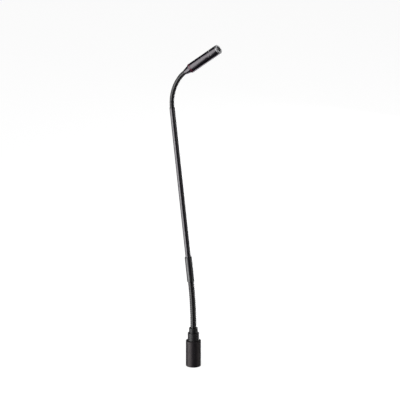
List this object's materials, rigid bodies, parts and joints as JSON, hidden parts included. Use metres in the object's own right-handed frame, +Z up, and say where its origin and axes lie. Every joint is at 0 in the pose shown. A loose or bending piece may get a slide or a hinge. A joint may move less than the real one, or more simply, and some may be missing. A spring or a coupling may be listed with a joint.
{
  "type": "gooseneck podium microphone",
  "caption": "Slim condenser microphone on a rigid stem between two goosenecks, with a lit ring at the head and a locking three-pin plug base.",
  "frame": {"origin": "on the plug's axis at the rim of its shell", "axes": "+Z up the plug's axis; both necks bend in the XZ plane and the head leans toward +X; pin 3 is on the -Y side and the latch window on the +Y side"},
  "size_m": [0.0689, 0.019, 0.4283],
  "materials": {
    "plug_paint": "satin",
    "collar_paint": "satin",
    "collar_rubber": "matte",
    "neck_wire": "satin",
    "stem_paint": "semi-gloss",
    "sleeve_paint": "satin",
    "head_paint": "satin",
    "ring_metal": "satin, anodised clear",
    "grille_wire": "woven, dark",
    "port_wire": "woven, bright",
    "indicator_lens": "translucent tinted",
    "lamp_epoxy": "clear",
    "insert_plastic": "moulded",
    "carrier_plastic": "moulded",
    "contact_plate": "gold plated",
    "screw_steel": "blackened",
    "nut_brass": "turned",
    "board_laminate": "solder mask",
    "component_case": "moulded",
    "cable_jacket": "matte",
    "lead_copper": "tinned",
    "capsule_rubber": "matte",
    "capsule_metal": "drawn",
    "diaphragm_film": "metallised film",
    "windscreen_foam": "open-cell foam"
  },
  "bodies": {
    "base": {"connector_shell": "plug_paint", "pin_insert": "insert_plastic", "contact_pins": "contact_plate", "shell_contact": "contact_plate", "retaining_screw": "screw_steel", "insulating_sleeve": "carrier_plastic", "preamp_board": "board_laminate", "preamp_components": "component_case", "neck_anchor": "nut_brass", "anchor_nut": "nut_brass", "isolator_collar": "collar_rubber", "relief_collar": "collar_paint", "lower_coil_0": "neck_wire", "lower_cable": "cable_jacket", "core_leads": "lead_copper"},
    "lower_link_1": {"lower_coil_1": "neck_wire"},
    "lower_link_2": {"lower_coil_2": "neck_wire"},
    "lower_link_3": {"lower_coil_3": "neck_wire"},
    "lower_link_4": {"lower_coil_4": "neck_wire"},
    "lower_link_5": {"lower_coil_5": "neck_wire"},
    "lower_link_6": {"lower_coil_6": "neck_wire"},
    "stem": {"lower_coil_7": "neck_wire", "stem_sleeve": "sleeve_paint", "stem_tube": "stem_paint", "stem_cable": "cable_jacket", "upper_coil_0": "neck_wire", "upper_cable": "cable_jacket"},
    "upper_link_1": {"upper_coil_1": "neck_wire"},
    "upper_link_2": {"upper_coil_2": "neck_wire"},
    "upper_link_3": {"upper_coil_3": "neck_wire"},
    "upper_link_4": {"upper_coil_4": "neck_wire"},
    "upper_link_5": {"upper_coil_5": "neck_wire"},
    "upper_link_6": {"upper_coil_6": "neck_wire"},
    "upper_link_7": {"upper_coil_7": "neck_wire"},
    "upper_link_8": {"upper_coil_8": "neck_wire"},
    "head": {"upper_coil_9": "neck_wire", "tail_cone": "head_paint", "indicator_ring": "indicator_lens", "head_housing": "head_paint", "head_board": "board_laminate", "indicator_lamps": "lamp_epoxy", "head_components": "component_case", "element_housing": "head_paint", "port_mesh": "port_wire", "capsule_mount": "capsule_rubber", "capsule_case": "capsule_metal", "capsule_backplate": "lead_copper", "capsule_diaphragm": "diaphragm_film", "front_ring": "ring_metal", "front_grille": "grille_wire", "foam_disc": "windscreen_foam"}
  },
  "joints": [
    {"name": "lower_pitch", "type": "hinge", "parent": "base", "child": "lower_link_1", "pos_m": [-0.00002, 0, 0.05454], "axis": [0, 1, 0], "range_deg": [-12, 12], "deforming": ["lower_cable"]},
    {"name": "lower_side", "type": "hinge", "parent": "lower_link_1", "child": "lower_link_2", "pos_m": [-0.00015, 0, 0.06321], "axis": [0.9997, 0, 0.0234], "range_deg": [-12, 12]},
    {"name": "lower_pitch_2", "type": "hinge", "parent": "lower_link_2", "child": "lower_link_3", "pos_m": [-0.00042, 0, 0.07187], "axis": [0, 1, 0], "range_deg": [-12, 12]},
    {"name": "lower_side_2", "type": "hinge", "parent": "lower_link_3", "child": "lower_link_4", "pos_m": [-0.00083, 0, 0.08053], "axis": [0.9985, 0, 0.0545], "range_deg": [-12, 12]},
    {"name": "lower_pitch_3", "type": "hinge", "parent": "lower_link_4", "child": "lower_link_5", "pos_m": [-0.00137, 0, 0.08919], "axis": [0, 1, 0], "range_deg": [-12, 12]},
    {"name": "lower_side_3", "type": "hinge", "parent": "lower_link_5", "child": "lower_link_6", "pos_m": [-0.00204, 0, 0.09783], "axis": [0.9963, 0, 0.0856], "range_deg": [-12, 12]},
    {"name": "lower_pitch_4", "type": "hinge", "parent": "lower_link_6", "child": "stem", "pos_m": [-0.00285, 0, 0.10647], "axis": [0, 1, 0], "range_deg": [-12, 12]},
    {"name": "upper_pitch", "type": "hinge", "parent": "stem", "child": "upper_link_1", "pos_m": [-0.02855, 0, 0.34191], "axis": [0, 1, 0], "range_deg": [-18, 10], "deforming": ["upper_cable"]},
    {"name": "upper_side", "type": "hinge", "parent": "upper_link_1", "child": "upper_link_2", "pos_m": [-0.02861, 0, 0.3479], "axis": [0.9993, 0, -0.0375], "range_deg": [-15, 15]},
    {"name": "upper_pitch_2", "type": "hinge", "parent": "upper_link_2", "child": "upper_link_3", "pos_m": [-0.0281, 0, 0.35388], "axis": [0, 1, 0], "range_deg": [-18, 10]},
    {"name": "upper_side_2", "type": "hinge", "parent": "upper_link_3", "child": "upper_link_4", "pos_m": [-0.027, 0, 0.35977], "axis": [0.973, 0, -0.2309], "range_deg": [-15, 15]},
    {"name": "upper_pitch_3", "type": "hinge", "parent": "upper_link_4", "child": "upper_link_5", "pos_m": [-0.02533, 0, 0.36553], "axis": [0, 1, 0], "range_deg": [-18, 10]},
    {"name": "upper_side_3", "type": "hinge", "parent": "upper_link_5", "child": "upper_link_6", "pos_m": [-0.02311, 0, 0.37111], "axis": [0.9096, 0, -0.4155], "range_deg": [-15, 15]},
    {"name": "upper_pitch_4", "type": "hinge", "parent": "upper_link_6", "child": "upper_link_7", "pos_m": [-0.02035, 0, 0.37643], "axis": [0, 1, 0], "range_deg": [-18, 10]},
    {"name": "upper_side_4", "type": "hinge", "parent": "upper_link_7", "child": "upper_link_8", "pos_m": [-0.01709, 0, 0.38146], "axis": [0.8116, 0, -0.5842], "range_deg": [-15, 15]},
    {"name": "upper_pitch_5", "type": "hinge", "parent": "upper_link_8", "child": "head", "pos_m": [-0.01317, 0, 0.38599], "axis": [0, 1, 0], "range_deg": [-18, 10]}
  ],
  "couplings": [
    {"joint": "lower_pitch_2", "follows": "lower_pitch", "ratio": 1},
    {"joint": "lower_side_2", "follows": "lower_side", "ratio": 1},
    {"joint": "lower_pitch_3", "follows": "lower_pitch", "ratio": 1},
    {"joint": "lower_side_3", "follows": "lower_side", "ratio": 1},
    {"joint": "lower_pitch_4", "follows": "lower_pitch", "ratio": 1},
    {"joint": "upper_pitch_2", "follows": "upper_pitch", "ratio": 1},
    {"joint": "upper_side_2", "follows": "upper_side", "ratio": 1},
    {"joint": "upper_pitch_3", "follows": "upper_pitch", "ratio": 1},
    {"joint": "upper_side_3", "follows": "upper_side", "ratio": 1},
    {"joint": "upper_pitch_4", "follows": "upper_pitch", "ratio": 1},
    {"joint": "upper_side_4", "follows": "upper_side", "ratio": 1},
    {"joint": "upper_pitch_5", "follows": "upper_pitch", "ratio": 1}
  ]
}
